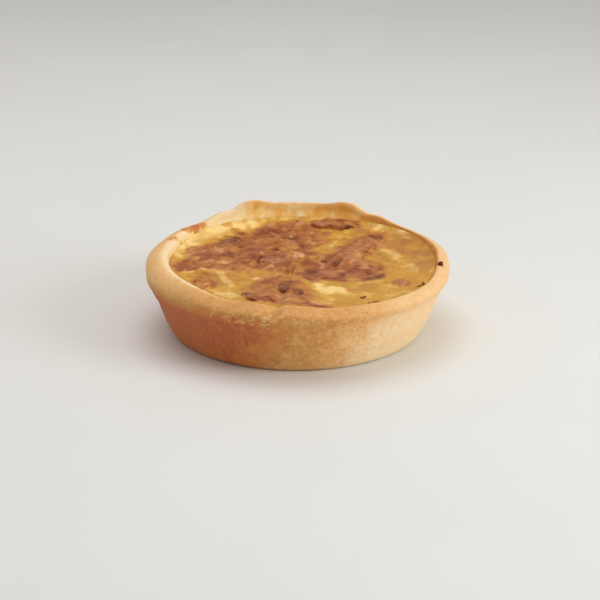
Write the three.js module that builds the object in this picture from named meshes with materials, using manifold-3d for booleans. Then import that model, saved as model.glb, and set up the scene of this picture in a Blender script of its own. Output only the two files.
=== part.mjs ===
// A small deep quiche lorraine, in millimetres, +Z up, with the front towards -Y.
// The origin is the centre of the flat base. Angles run from +X towards +Y.
import * as THREE from "three";
import { mergeVertices } from "three/addons/utils/BufferGeometryUtils.js";
import Module from "manifold-3d";

const { clamp, degToRad, radToDeg, euclideanModulo, smoothstep } = THREE.MathUtils;

// Driving sizes of the pastry shell
const RIM_RADIUS = 56;
const BASE_RADIUS = 46;
const BASE_EDGE = 1.8; // rounding where the base meets the wall
const FLOOR = 4; // thickness of the pastry under the filling
const WALL = 5; // thickness of the pastry round the filling
const RIM_TOP = 27.5; // height of the plain rim
const WAIST = 13; // height where the outside is barely pinched in under the lip
const WAIST_RADIUS = 51.8;
const LEAN_BELOW = 2; // how far the wall leans out in the half height below the waist
const LEAN_ABOVE = 1.4; // and in the half height from there to the lip
const LIP_EDGE = 20.5; // height of the lip's lower edge, outside and inside
const LIP_WIDTH = 8.4;
const LIP_CREST = 5.6; // how far the crest lies in from the rim's outline
const LIP_LEAN = 1.2; // how far the inside of the lip leans in from its inner edge down to the wall
const LIP_DEPTH = 2; // height of the lip's rounded inner edge
const LIP_ROUND = 1.4; // rounding of the crest's inner side
const LIP_TUCK = 0.6; // how far the lip's lower edge is tucked in from the rim's outline
const FLUTTER = 0.35; // how far hand pressing moves the outline in and out
const FLUTTER_WAVES = [
  { turns: 3, share: 1, shift: 1 },
  { turns: 5, share: 0.7, shift: 2.2 },
  { turns: 8, share: 0.5, shift: 0 },
];

// Driving sizes of the filling
const GAP = 0.3; // clearance between neighbouring pieces
const LEVEL = 24.6; // height of the set custard in the middle
const EDGE_RISE = 0.2; // how far its edge clings up the pastry all round
const SKIN_RISE = 0.9; // how far the toasted skin stands above the custard
const SWELL = 0.18; // height of the custard's slow waves
const SWELL_LENGTH = 28; // and their length
const WRINKLE = 0.4; // height of the toasted skin's creases
const WRINKLE_LENGTH = 10;
const BELOW_CREST = 0.6; // how far the filling's edge stays below the rim

// How finely the two round pieces are divided
const SECTION_STEPS = 4; // divisions of each curve of the shell's section
const CRUST_COLUMNS = 90;
const FILLING_COLUMNS = 90;
const FILLING_RINGS = 21;
const FILLING_SIDES = 6;

// Waves of the rim: angle and half width in degrees, rise in mm above the plain rim
const RIM_WAVES = [
  { at: 89, flat: 24, half: 33, rise: 3.3 },
  { at: 88, flat: 30, half: 50, rise: 1.9 },
  { at: 109, flat: 0, half: 10, rise: 1.6 },
  { at: 124, flat: 0, half: 10, rise: 1.2 },
  { at: 69, flat: 0, half: 9, rise: 1.0 },
  { at: 53, flat: 0, half: 8, rise: 0.7 },
  { at: 25, flat: 15, half: 45, rise: 0.9 },
  { at: 143, flat: 12, half: 40, rise: 1.0 },
  { at: -160, flat: 12, half: 45, rise: 1.7 },
  { at: -108, flat: 6, half: 25, rise: -1.1 },
  { at: -51, flat: 20, half: 60, rise: -3.2 },
  { at: -136, flat: 8, half: 40, rise: -1.3 },
  { at: -99, flat: 0, half: 5, rise: -1.3 },
];

// Where the inside of the lip is pressed thinner, in mm
const THIN_LIP = [
  { at: 90, flat: 40, half: 75, rise: 3.2 },
  { at: -12, flat: 32, half: 68, rise: 3.2 },
];

// Where the custard climbs the pastry, in mm
const CUSTARD_CLIMB = [
  { at: 75, flat: 40, half: 80, rise: 1.8 },
  { at: -10, flat: 15, half: 50, rise: 0.5 },
];

// Toasted patches of the skin: centre, half length, half width, and turn in degrees
const TOASTED = [
  { x: -24, y: 9, long: 27, wide: 16, turn: 60 },
  { x: -5, y: 28, long: 19, wide: 13, turn: 8 },
  { x: -7, y: 4, long: 17, wide: 14, turn: 0 },
  { x: 14, y: -7, long: 20, wide: 12, turn: 10 },
  { x: 22, y: 13, long: 22, wide: 8, turn: 62 },
  { x: -6, y: -32, long: 13, wide: 14, turn: 0 },
  { x: 15, y: 42, long: 10, wide: 4, turn: -10 },
  { x: 5, y: -44, long: 9, wide: 3.5, turn: 0 },
  { x: -40, y: -5, long: 9, wide: 8, turn: 60 },
];

// Lumps of melted cheese on the custard: as the patches, with a height
const CHEESE = [
  { x: 11, y: -30, long: 8, wide: 5.5, turn: -40, rise: 0.9 },
  { x: 35, y: 10, long: 8, wide: 4, turn: -56, rise: 0.8 },
  { x: 15, y: 21, long: 8, wide: 3, turn: 80, rise: 0.6 },
  { x: -25.5, y: -21, long: 10, wide: 2.4, turn: -66, rise: 0.9 },
  { x: -32.5, y: -26, long: 4.5, wide: 4.5, turn: 0, rise: 0.8 },
];

// Bacon strips: centre, length, width, turn, arch along the strip, and how far the top stands clear
const BACON = [
  { x: 25.4, y: 17.8, length: 31, width: 7.2, turn: 61, arch: 1.0, proud: 1.3 },
  { x: 14, y: 41.5, length: 16, width: 5, turn: -16, arch: 0.5, proud: 1.1 },
  { x: 29, y: -14.5, length: 13, width: 3.8, turn: 40, arch: 0.4, proud: 0.9 },
  { x: 37.2, y: -20.8, length: 8, width: 4.6, turn: 80, arch: 0.2, proud: 0.8 },
  { x: -14.5, y: -38, length: 10, width: 6, turn: -14, arch: 0.4, proud: 1.1 },
  { x: -8, y: 0, length: 13, width: 8, turn: -30, arch: 0.6, proud: 1.0 },
  { x: 11.5, y: -12.5, length: 12, width: 8, turn: -15, arch: 0.5, proud: 1.1 },
  { x: -3.6, y: -26.5, length: 9, width: 6.4, turn: 75, arch: 0.4, proud: 1.0 },
  { x: -25.5, y: 20, length: 11, width: 7.5, turn: 80, arch: 0.5, proud: 1.0 },
];
const BACON_THICK = 2.6;
const BACON_STEPS = 8; // divisions along a strip
const BACON_TAPER = 0.28; // share of the width lost at the ends
const BACON_SWAY = 0.35; // how far a strip weaves from side to side
const BACON_ROUND = 0.4; // how far the long edges are rounded off, above and below
const POCKET_CLEAR = 0.35; // clearance round a strip in its pocket
const POCKET_HEIGHT = 6; // how far a pocket is cut up through the top

const FINISHES = {
  pastry: { color: 0xd9a066, roughness: 0.75 },
  custard: { color: 0xc98a45, roughness: 0.5 },
  bacon: { color: 0x8a4a38, roughness: 0.5 },
};

const wasm = await Module();
wasm.setup();

// A merged copy of a closed geometry as a solid that can be cut.
function solidFrom(geometry) {
  const loose = geometry.index ? geometry.toNonIndexed() : geometry;
  const bare = new THREE.BufferGeometry().setAttribute("position", loose.getAttribute("position"));
  const merged = mergeVertices(bare, 1e-4);
  const mesh = new wasm.Mesh({
    numProp: 3,
    vertProperties: merged.getAttribute("position").array,
    triVerts: new Uint32Array(merged.index.array),
  });
  return new wasm.Manifold(mesh);
}

// The solid's surface as a geometry with one set of vertices.
function geometryFrom(solid) {
  const mesh = solid.getMesh();
  const geometry = new THREE.BufferGeometry();
  geometry.setAttribute("position", new THREE.BufferAttribute(mesh.vertProperties, mesh.numProp));
  geometry.setIndex(new THREE.BufferAttribute(mesh.triVerts, 1));
  geometry.computeVertexNormals();
  return geometry;
}

// A closed round skin: row 0 and the last row lie on the axis, and place(row, angle) gives each vertex.
function turnedSkin(rows, columns, place) {
  const blank = Array.from({ length: rows }, (_, row) => new THREE.Vector2(row % (rows - 1) ? 1 : 0, row));
  const geometry = new THREE.LatheGeometry(blank, columns);
  const position = geometry.getAttribute("position");
  for (let vertex = 0; vertex < position.count; vertex++) {
    const column = Math.floor(vertex / rows) % columns;
    const point = place(vertex % rows, (column / columns) * Math.PI * 2);
    position.setXYZ(vertex, point.x, point.y, point.z);
  }
  geometry.computeVertexNormals();
  return geometry;
}

// The sum of waves at an angle in radians: each is full in its flat part and fades out at its half width.
function waves(list, angle) {
  const degrees = radToDeg(angle);
  return list.reduce((sum, wave) => {
    const away = Math.abs(euclideanModulo(degrees - wave.at + 180, 360) - 180);
    return sum + wave.rise * (1 - smoothstep(away, wave.flat, wave.half));
  }, 0);
}

// How strongly a place lies in an oval patch: 1 in its middle, 0 outside.
function insideOval(oval, x, y) {
  const turn = degToRad(oval.turn);
  const along = (x - oval.x) * Math.cos(turn) + (y - oval.y) * Math.sin(turn);
  const across = (y - oval.y) * Math.cos(turn) - (x - oval.x) * Math.sin(turn);
  return 1 - smoothstep(Math.hypot(along / oval.long, across / oval.wide), 0.75, 1.15);
}

// The plain shell's half section, from the base's centre up the outside, over the lip and down to the floor.
function shellSection() {
  const edge = RIM_RADIUS - LIP_TUCK;
  const middle = (LIP_EDGE + RIM_TOP) / 2;
  const crest = RIM_RADIUS - LIP_CREST;
  const inside = RIM_RADIUS - LIP_WIDTH;
  const insideTop = RIM_TOP - LIP_DEPTH;
  const insideFloor = BASE_RADIUS - WALL + BASE_EDGE;
  const path = new THREE.Path();
  path.moveTo(0, 0);
  path.lineTo(BASE_RADIUS - BASE_EDGE, 0);
  path.quadraticCurveTo(BASE_RADIUS, 0, BASE_RADIUS + BASE_EDGE / 2, BASE_EDGE);
  path.quadraticCurveTo(WAIST_RADIUS - LEAN_BELOW, WAIST / 2, WAIST_RADIUS, WAIST);
  path.quadraticCurveTo(WAIST_RADIUS + LEAN_ABOVE, (WAIST + LIP_EDGE) / 2, edge, LIP_EDGE);
  path.bezierCurveTo(RIM_RADIUS, LIP_EDGE + LIP_TUCK, RIM_RADIUS, middle - LIP_ROUND, RIM_RADIUS, middle);
  path.bezierCurveTo(RIM_RADIUS, RIM_TOP - LIP_ROUND, crest + LIP_CREST * 0.45, RIM_TOP, crest, RIM_TOP);
  path.bezierCurveTo(crest - LIP_ROUND, RIM_TOP, inside, RIM_TOP - LIP_ROUND / 2, inside, insideTop);
  path.quadraticCurveTo(inside - LIP_LEAN * 0.8, (insideTop + LIP_EDGE) / 2, inside - LIP_LEAN, LIP_EDGE);
  path.quadraticCurveTo(inside - LIP_LEAN + 0.3, WAIST, insideFloor, FLOOR + BASE_EDGE);
  path.quadraticCurveTo(insideFloor - BASE_EDGE / 2, FLOOR, insideFloor - BASE_EDGE, FLOOR);
  path.lineTo(0, FLOOR);
  return path.getPoints(SECTION_STEPS);
}

const SECTION = shellSection();
const CREST_ROW = SECTION.findIndex((point) => point.y === RIM_TOP);

// One point of the section at an angle, after the rim's waves, the pressed lip and the flutter.
function shellPoint(row, angle) {
  const { x: radius, y: height } = SECTION[row];
  const lift = smoothstep(height, LIP_EDGE - 1, RIM_TOP);
  const innerSide = smoothstep(row, CREST_ROW - SECTION_STEPS, CREST_ROW + SECTION_STEPS);
  const thinning = waves(THIN_LIP, angle) * innerSide * smoothstep(height, LIP_EDGE, RIM_TOP - LIP_DEPTH);
  const flutter = FLUTTER_WAVES.reduce((sum, wave) => {
    return sum + wave.share * Math.sin(wave.turns * angle + wave.shift);
  }, 0);
  const outward = (height * radius) / (RIM_TOP * RIM_RADIUS); // nothing at the base and the axis
  return {
    radius: radius + thinning + FLUTTER * flutter * outward,
    height: height + waves(RIM_WAVES, angle) * lift,
  };
}

// A point at an angle, a distance from the axis and a height.
function polar(angle, radius, height) {
  return new THREE.Vector3(radius * Math.cos(angle), radius * Math.sin(angle), height);
}

function shellVertex(row, angle) {
  const { radius, height } = shellPoint(row, angle);
  return polar(angle, radius, height);
}

// The inner wall's radius at a height, read between the section's rows.
function innerRadius(height, angle) {
  for (let row = CREST_ROW; row < SECTION.length - 2; row++) {
    const upper = shellPoint(row, angle);
    const lower = shellPoint(row + 1, angle);
    if (height <= upper.height && height >= lower.height) {
      const share = (height - lower.height) / Math.max(upper.height - lower.height, 1e-6);
      return THREE.MathUtils.lerp(lower.radius, upper.radius, share);
    }
  }
  return BASE_RADIUS - WALL;
}

// Height of the filling's edge where it meets the pastry, always a little below the rim.
function edgeHeight(angle) {
  const crest = RIM_TOP + waves(RIM_WAVES, angle);
  return Math.min(LEVEL + EDGE_RISE + waves(CUSTARD_CLIMB, angle), crest - BELOW_CREST);
}

// A wave of the given length along one direction, bent by a slower wave along the other.
function ripple(along, across, length, shift) {
  const turn = (2 * Math.PI) / length;
  return Math.sin(along * turn + 1.6 * Math.sin(across * turn * 0.4) + shift);
}

// Height of the filling's top: custard waves, the climb at the edge, toasted creased skin, and cheese lumps.
function topHeight(x, y, share, angle) {
  const swell = ripple(x, y, SWELL_LENGTH, 0) + ripple(y, x, SWELL_LENGTH, 2);
  const crease = ripple(x, y, WRINKLE_LENGTH, 0) * ripple(y, x, WRINKLE_LENGTH, 0);
  const toast = clamp(Math.max(...TOASTED.map((patch) => insideOval(patch, x, y))), 0, 1);
  const lumps = CHEESE.reduce((sum, lump) => sum + lump.rise * insideOval(lump, x, y), 0);
  const calm = 1 - smoothstep(share, 0.86, 1); // relief fades towards the edge
  const climb = (edgeHeight(angle) - LEVEL) * smoothstep(share, 0.8, 1);
  return LEVEL + climb + calm * (SWELL * swell + toast * (SKIN_RISE + WRINKLE * crease) + lumps);
}

// One vertex of the filling: its floor, its side against the pastry, then rings from the edge to the middle.
function fillingVertex(row, angle) {
  const bottom = FLOOR + GAP;
  const edge = edgeHeight(angle);
  if (row === 0) return polar(angle, 0, bottom);
  if (row === 1) return polar(angle, BASE_RADIUS - WALL - GAP, bottom);
  if (row <= 1 + FILLING_SIDES) {
    const low = [bottom + BASE_EDGE, WAIST];
    const share = (row - 2 - low.length) / (FILLING_SIDES - 1 - low.length);
    const height = low[row - 2] ?? THREE.MathUtils.lerp(LIP_EDGE - 0.5, edge, share);
    return polar(angle, innerRadius(height, angle) - GAP, height);
  }
  const share = 1 - (row - 1 - FILLING_SIDES) / FILLING_RINGS;
  const point = polar(angle, (innerRadius(edge, angle) - GAP) * share, 0);
  return point.setZ(topHeight(point.x, point.y, share, angle));
}

// A strip of bacon: a box with its ends narrowed and its length arched, grown on every side by extra.
function baconShape(strip, extra = 0, above = 0) {
  const long = strip.length + 2 * extra;
  const wide = strip.width + 2 * extra;
  const thick = BACON_THICK + 2 * extra + above;
  const geometry = new THREE.BoxGeometry(long, wide, thick, BACON_STEPS, 2, 1);
  const position = geometry.getAttribute("position");
  for (let vertex = 0; vertex < position.count; vertex++) {
    const along = position.getX(vertex) / (long / 2);
    const across = position.getY(vertex) / (wide / 2);
    const narrow = 1 - BACON_TAPER * along ** 4;
    const round = BACON_ROUND * across ** 2 * Math.sign(position.getZ(vertex));
    const sway = BACON_SWAY * Math.sin(along * 2.4 + strip.x);
    const arch = strip.arch * Math.cos(along * 2.2);
    position.setY(vertex, position.getY(vertex) * narrow + sway);
    position.setZ(vertex, position.getZ(vertex) + above / 2 + arch - round);
  }
  return geometry.rotateZ(degToRad(strip.turn));
}

// Where a strip lies: on the filling's top, sunk so that only its proud part stands clear.
function baconPlace(strip) {
  const angle = Math.atan2(strip.y, strip.x);
  const share = Math.hypot(strip.x, strip.y) / (innerRadius(edgeHeight(angle), angle) - GAP);
  const top = topHeight(strip.x, strip.y, share, angle);
  return new THREE.Vector3(strip.x, strip.y, top + strip.proud - BACON_THICK / 2 - strip.arch);
}

function piece(name, geometry, finish) {
  const mesh = new THREE.Mesh(geometry, new THREE.MeshStandardMaterial({ ...finish, metalness: 0 }));
  mesh.name = name;
  return mesh;
}

function makeCrust() {
  const geometry = turnedSkin(SECTION.length, CRUST_COLUMNS, shellVertex);
  return piece("crust", geometry, FINISHES.pastry);
}

function makeFilling() {
  const rows = 2 + FILLING_SIDES + FILLING_RINGS;
  let solid = solidFrom(turnedSkin(rows, FILLING_COLUMNS, fillingVertex));
  for (const strip of BACON) {
    const place = baconPlace(strip);
    const pocket = baconShape(strip, POCKET_CLEAR, POCKET_HEIGHT).translate(place.x, place.y, place.z);
    solid = solid.subtract(solidFrom(pocket));
  }
  return piece("filling", geometryFrom(solid), FINISHES.custard);
}

function makeBacon() {
  return BACON.map((strip, index) => {
    const mesh = piece(`bacon_${index + 1}`, baconShape(strip), FINISHES.bacon);
    mesh.position.copy(baconPlace(strip));
    return mesh;
  });
}

const quiche = new THREE.Group();
quiche.add(makeCrust(), makeFilling(), ...makeBacon());

export default quiche;
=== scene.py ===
# A small deep quiche lorraine: pastry shell, toasted custard and bacon, in metres, +Z up, front towards -Y.
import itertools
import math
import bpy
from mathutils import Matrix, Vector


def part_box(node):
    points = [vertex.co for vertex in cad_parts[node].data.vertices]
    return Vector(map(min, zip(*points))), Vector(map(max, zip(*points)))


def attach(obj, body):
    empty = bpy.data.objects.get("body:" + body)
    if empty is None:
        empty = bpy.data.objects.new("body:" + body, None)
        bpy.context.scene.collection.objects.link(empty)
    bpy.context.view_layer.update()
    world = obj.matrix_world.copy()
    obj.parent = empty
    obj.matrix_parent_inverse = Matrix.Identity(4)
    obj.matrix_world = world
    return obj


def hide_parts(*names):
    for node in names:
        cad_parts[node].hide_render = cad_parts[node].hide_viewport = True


bl_info = {
    "name": "Quiche Lorraine",
    "version": (1, 0, 0),
    "blender": (4, 5, 0),
    "location": "View3D > Sidebar > Quiche",
    "description": "Builds a small deep quiche: pastry shell, toasted custard, bacon, crumbs and a studio",
    "category": "Add Mesh",
}

import bpy
import numpy as np

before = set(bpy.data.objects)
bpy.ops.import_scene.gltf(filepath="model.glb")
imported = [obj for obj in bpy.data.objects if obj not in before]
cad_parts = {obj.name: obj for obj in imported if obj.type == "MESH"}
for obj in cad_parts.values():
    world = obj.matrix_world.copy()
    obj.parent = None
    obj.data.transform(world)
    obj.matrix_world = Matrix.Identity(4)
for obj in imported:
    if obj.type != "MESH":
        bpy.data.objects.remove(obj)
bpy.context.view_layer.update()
CRUST_LOW, CRUST_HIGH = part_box("crust")
FILLING_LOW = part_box("filling")[0]

MM = 0.001  # shapes are worked out in millimetres and put into the meshes in metres
TURN = 2 * math.pi

# The pastry shell's section, in mm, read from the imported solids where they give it
RIM_RADIUS = (CRUST_HIGH[0] - CRUST_LOW[0]) / 2 / MM
GAP = 0.3  # clearance between the filling and the shell
FLOOR = FILLING_LOW[2] / MM - GAP
BASE_RADIUS = 46.0
BASE_EDGE = 1.8
WALL = 5.0
RIM_TOP = 27.5
WAIST = 13.0
WAIST_RADIUS = 51.8
LEAN_BELOW = 2.0
LEAN_ABOVE = 1.4
LIP_EDGE = 20.5
LIP_WIDTH = 8.4
LIP_CREST = 5.6
LIP_LEAN = 1.2
LIP_DEPTH = 2.0
LIP_ROUND = 1.4
LIP_TUCK = 0.6
FLUTTER = 0.35
FLUTTER_WAVES = ((3, 1.0, 1.0), (5, 0.7, 2.2), (8, 0.5, 0.0))  # turns, share, shift

# The custard's top, in mm
LEVEL = 24.6
EDGE_RISE = 0.2
BELOW_CREST = 0.6
SKIN_RISE = 0.9
SWELL = 0.18

# Waves round the rim: angle, flat half width and full half width in degrees, and rise in mm
RIM_WAVES = (
    (89, 24, 33, 3.3),
    (88, 30, 50, 1.9),
    (109, 0, 10, 1.6),
    (124, 0, 10, 1.2),
    (69, 0, 9, 1.0),
    (53, 0, 8, 0.7),
    (25, 15, 45, 0.9),
    (143, 12, 40, 1.0),
    (-160, 12, 45, 1.7),
    (-108, 6, 25, -1.1),
    (-51, 20, 60, -3.2),
    (-136, 8, 40, -1.3),
    (-99, 0, 5, -1.3),
)
THIN_LIP = ((90, 40, 75, 3.2), (-12, 32, 68, 3.2))
CUSTARD_CLIMB = ((75, 40, 80, 1.8), (-10, 15, 50, 0.5))

# Ovals on the custard: centre x, y, half length, half width in mm, turn in degrees, strength
TOASTED = (
    (-24, 9, 27, 16, 60, 1.0),
    (-5, 30, 20, 13, 6, 1.0),
    (-3, 38, 10, 8, 0, 0.9),
    (-7, 4, 17, 14, 0, 1.0),
    (14, -7, 20, 12, 10, 1.0),
    (22, 13, 22, 8, 62, 0.9),
    (-6, -32, 13, 14, 0, 0.8),
    (15, 43, 10, 4, -10, 0.9),
    (5, -44, 9, 3.5, 0, 0.7),
    (-40, -5, 9, 8, 60, 0.9),
    (37.6, -20.8, 3.2, 3.6, 0, 0.6),
    (-33, -25, 5, 5, 0, 0.8),
)
CHEESE = (
    (11.5, -28, 8.5, 6.4, -40, 1.15),
    (8, -23.5, 3, 4, 10, 0.95),
    (35, 10, 8, 4, -56, 0.65),
    (15, 21, 8, 3, 80, 0.22),
    (-25.5, -21, 10, 2.0, -66, 0.8),
    (-36, -13, 9, 2.0, 6, 0.95),
)
# Dark places in the skin: painted shade in creases and under the undersides of raised pieces, and real
# scorched spots
SHADED_AND_SCORCHED_SPOTS = (
    (-7, 37, 8, 2.2, 0, 0.36),
    (-18, 33.5, 7, 1.6, 10, 0.3),
    (-26, 26, 4, 6, 0, 0.5),
    (3, 30, 5, 2.6, 0, 0.36),
    (4.5, 19.5, 4.5, 3, 0, 0.45),
    (4, 16, 3, 5, 10, 0.28),
    (-8, 14.5, 3.6, 1.5, 0, 0.5),
    (-14, 2, 2.2, 6, 0, 0.35),
    (-8.5, 2, 5.5, 3, -20, 0.2),
    (-8, 6, 4.5, 1.2, -6, 0.4),
    (-5, -11, 4.5, 2, -62, 0.5),
    (-3, -27, 3.5, 5, 10, 0.3),
    (0.5, -33, 1.9, 3.4, 0, 0.5),
    (14, -18, 6, 1.5, -12, 0.45),
    (15, -1, 1.5, 4, -10, 0.4),
    (9.5, 0.5, 1.3, 2.4, 20, 0.4),
    (16, 11, 1.3, 4, -30, 0.4),
    (-13, -40.6, 6, 2.2, -8, 0.6),
    (8, -46.6, 7, 1.2, 4, 0.55),
    (14, 45.5, 7, 1.6, -4, 0.3),
    (23.5, 40, 2, 4, 10, 0.3),
    (-43, 0, 2.5, 5, 20, 0.16),
    (-42, -8, 3, 4, 0, 0.16),
    (-35, -17.3, 4.6, 1.0, -8, 0.45),
    (-36.8, -22, 1.0, 3.6, 10, 0.35),
    (-29.5, -26, 1.0, 4, -8, 0.3),
    (41, 13, 1.8, 6, 30, 0.25),
    (34.4, -2.4, 1.2, 1.6, 0, 0.5),
    (41, 22, 4, 1.8, -30, 0.25),
    (44, 2, 2, 4, 10, 0.2),
    (40, -6, 3.4, 1.8, 10, 0.18),
    (33.5, 3, 1.2, 2.5, 20, 0.2),
    (29, -14.6, 6.4, 1.3, 40, 0.5),
    (21, -9, 3, 1.6, 30, 0.2),
    (-20, -2, 3, 1.4, -20, 0.2),
    (-31, 2, 4, 1.4, 10, 0.1),
    (33, 34, 2, 3, 0, 0.2),
)
# Pale places in the skin, where soft custard, cheese or fat shows through, and painted highlights on raised
# bumps
PALE_AND_HIGHLIGHT_SPOTS = (
    (0.6, 6.0, 2.3, 2.5, 0, 0.95),
    (22, -2, 3, 2.6, 0, 0.2),
    (-14, -18.5, 2.4, 2.2, -10, 0.4),
    (-17, -10, 3, 1.4, -20, 0.25),
    (-19, 1, 3, 1.2, 0, 0.3),
    (-5, -36, 2.6, 2.4, 0, 0.35),
    (-32, -26.3, 0.9, 1.1, 0, 0.7),
    (15, -9, 3.4, 1.6, 30, 0.25),
    (27, -20, 6, 1.5, 22, 0.25),
    (9, -42.5, 5, 2, 0, 0.55),
    (-24, -35, 8, 2, -38, 0.2),
    (-3, 23, 3, 4, 0, 0.14),
    (-30, 12, 3, 4, 0, 0.16),
    (20, 5, 4, 3, 0, 0.2),
    (21, 3, 3, 4, 0, 0.14),
    (-30, -12, 7, 2.2, 0, 0.42),
    (-38, 3, 1.8, 2.4, 0, 0.2),
    (-27.5, -3, 4, 1.4, 10, 0.2),
)
# Small flakes of browned cheese and herb: centre x, y, length, width in mm and turn in degrees
SPECKS = (
    (23.4, -35.8, 3.2, 2.0, 60),
    (27.4, -40.2, 3.0, 1.0, 20),
    (25.2, -41.2, 1.8, 0.8, 35),
    (43.9, -23.6, 3.8, 1.5, 40),
    (45.3, -21.4, 3.6, 1.3, 80),
)
FLAKES = 14  # tiny flakes strewn over the custard besides those
CRUMBS = 90  # pastry crumbs along the lower edge of the front of the lip

# Bacon: centre x, y, length, width, turn, arch and how far the top stands clear, as the solids have them,
# then how dark it is baked, from 0 to 1
BACON = (
    (25.4, 17.8, 31, 7.2, 61, 1.0, 1.3, 0.38),
    (14, 41.5, 16, 5, -16, 0.5, 1.1, 0.32),
    (29, -14.5, 13, 3.8, 40, 0.4, 0.9, 0.85),
    (37.2, -20.8, 8, 4.6, 80, 0.2, 0.8, 0.4),
    (-14.5, -38, 10, 6, -14, 0.4, 1.1, 0.6),
    (-8, 0, 13, 8, -30, 0.6, 1.0, 0.35),
    (11.5, -12.5, 12, 8, -15, 0.5, 1.1, 0.42),
    (-3.6, -26.5, 9, 6.4, 75, 0.4, 1.0, 0.7),
    (-25.5, 20, 11, 7.5, 80, 0.5, 1.0, 0.75),
)
BACON_THICK = 2.6
BACON_TAPER = 0.28
BACON_SWAY = 0.35

CRUST_COLUMNS = 640
FILLING_GRID = 290
BACON_ROWS = 120
BACON_COLUMNS = 72
LATTICE = 32  # corners of a noise lattice before it repeats


def colour(red, green, blue):
    """A colour given by its 0 to 255 screen values, as the linear values that Blender mixes."""
    share = np.array((red, green, blue)) / 255
    linear = np.where(share <= 0.04045, share / 12.92, ((share + 0.055) / 1.055) ** 2.4)
    return tuple(float(value) for value in linear)


def smoothstep(low, high, value):
    """0 below low and 1 above high, with a smooth S between them: t * t * (3 - 2 t)."""
    share = np.clip((value - low) / (high - low), 0, 1)
    return share * share * (3 - 2 * share)


def noise(points, size, seed):
    """Gradient noise from about -1 to 1: every corner of a cubic lattice of the given size has a random
    slope, and the eight slopes round a point are blended by a smooth quintic."""
    slopes = np.random.default_rng(seed).normal(size=(LATTICE, LATTICE, LATTICE, 3))
    slopes /= np.linalg.norm(slopes, axis=-1, keepdims=True)
    place = points / size + 500.5
    corner = np.floor(place).astype(int)
    inside = place - corner
    blend = inside**3 * (inside * (inside * 6 - 15) + 10)
    total = np.zeros(points.shape[:-1])
    for offset in itertools.product((0, 1), repeat=3):
        at = (corner + offset) % LATTICE
        slope = slopes[at[..., 0], at[..., 1], at[..., 2]]
        weight = np.prod(np.where(offset, blend, 1 - blend), axis=-1)
        total += weight * np.sum(slope * (inside - offset), axis=-1)
    return total * 1.6


def fbm(points, size, seed, octaves=4):
    """Noise laid over itself: each octave is half as large and a little over half as strong as the last."""
    return sum(0.55**octave * noise(points, size / 2**octave, seed + octave) for octave in range(octaves))


def folds(points, size, seed):
    """Rounded ridges from 0 to 1 that follow the lines where a bent noise is nought."""
    bend = np.stack([noise(points, size, seed + axis) for axis in (1, 2, 3)], axis=-1)
    return (1 - np.minimum(np.abs(noise(points + 0.6 * size * bend, size, seed)) * 1.6, 1)) ** 1.5


def blotches(points, size, seed):
    """Soft patches from -1 to 1: each square in plan holds one seed with a random tone, and a point takes the
    tones of the seeds near it, weighted by how close they are."""
    seeds = np.random.default_rng(seed).random((64, 64, 3))
    place = points[..., :2] / size + 500.5
    square = np.floor(place).astype(int)
    total = np.zeros(place.shape[:-1])
    weights = total.copy()
    for offset in itertools.product((-1, 0, 1), repeat=2):
        at = square + offset
        scattered = seeds[at[..., 0] % 64, at[..., 1] % 64]
        weight = np.exp(-9 * np.sum((at + scattered[..., :2] - place) ** 2, axis=-1))
        total += weight * (2 * scattered[..., 2] - 1)
        weights += weight
    return total / np.maximum(weights, 1e-6)


def waves(listed, angle):
    """The sum of waves at angles in radians: each is full in its flat part and fades at its half width."""
    degrees = np.degrees(angle)
    total = np.zeros_like(degrees, dtype=float)
    for at, flat, half, rise in listed:
        away = np.abs((degrees - at + 180) % 360 - 180)
        total += rise * (1 - smoothstep(flat, half, away))
    return total


def oval(patch, x, y, wobble=0.0, solid=0.75, reach=1.15):
    """1 in the middle of an oval patch and 0 outside: one minus a smooth step of its scaled distance."""
    middle_x, middle_y, long, wide, turn = patch[:5]
    cos, sin = math.cos(math.radians(turn)), math.sin(math.radians(turn))
    along = (x - middle_x) * cos + (y - middle_y) * sin
    across = (y - middle_y) * cos - (x - middle_x) * sin
    return 1 - smoothstep(solid, reach, np.hypot(along / long, across / wide) + wobble)


def bezier(controls, count):
    """Points of a Bezier curve, end left out: each control weighted by its Bernstein polynomial."""
    share = np.linspace(0, 1, count, endpoint=False)[:, None]
    degree = len(controls) - 1
    return sum(
        math.comb(degree, k) * share**k * (1 - share) ** (degree - k) * np.array(control, dtype=float)
        for k, control in enumerate(controls)
    )


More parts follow.
